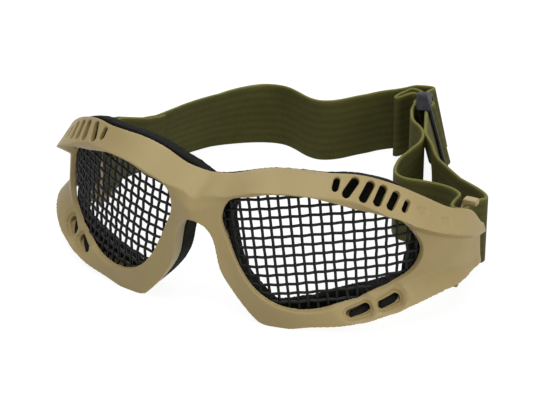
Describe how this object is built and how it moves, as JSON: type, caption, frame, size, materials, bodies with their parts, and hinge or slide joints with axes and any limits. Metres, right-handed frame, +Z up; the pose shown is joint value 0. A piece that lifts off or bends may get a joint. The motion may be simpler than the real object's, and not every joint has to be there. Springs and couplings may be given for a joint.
{
  "type": "safety goggles",
  "caption": "Wrap-around safety goggles with curved wire mesh lenses, a foam gasket and an elastic head strap with a three-bar slider.",
  "frame": {"origin": "middle of the part's footprint, on the surface that it stands on", "axes": "+Z up, the wearer looks along -Y, +X is the right side of the picture"},
  "size_m": [0.1776, 0.1752, 0.0604],
  "materials": {
    "frame": "moulded, fine matt grain",
    "lens_wire": "satin",
    "foam": "soft closed-cell foam",
    "webbing": "ribbed elastic webbing",
    "thread": "sewing thread",
    "slider": "moulded plastic"
  },
  "bodies": {
    "goggles": {"frame": "frame", "lens_mesh_left": "lens_wire", "lens_mesh_right": "lens_wire", "foam_gasket": "foam"},
    "strap": {"strap": "webbing", "strap_return": "webbing", "strap_stitches": "thread", "return_stitches": "thread"},
    "slider": {"slider": "slider"}
  },
  "joints": [
    {"name": "strap_swing", "type": "hinge", "parent": "goggles", "child": "strap", "pos_m": [0, -0.0155, 0.0195], "axis": [1, 0, 0], "range_deg": [-8, 8]},
    {"name": "slider_slide", "type": "slide", "parent": "strap", "child": "slider", "axis": [0.37, -0.929, 0], "range_m": [-0.001, 0.02], "deforming": ["strap_return", "return_stitches"]}
  ]
}
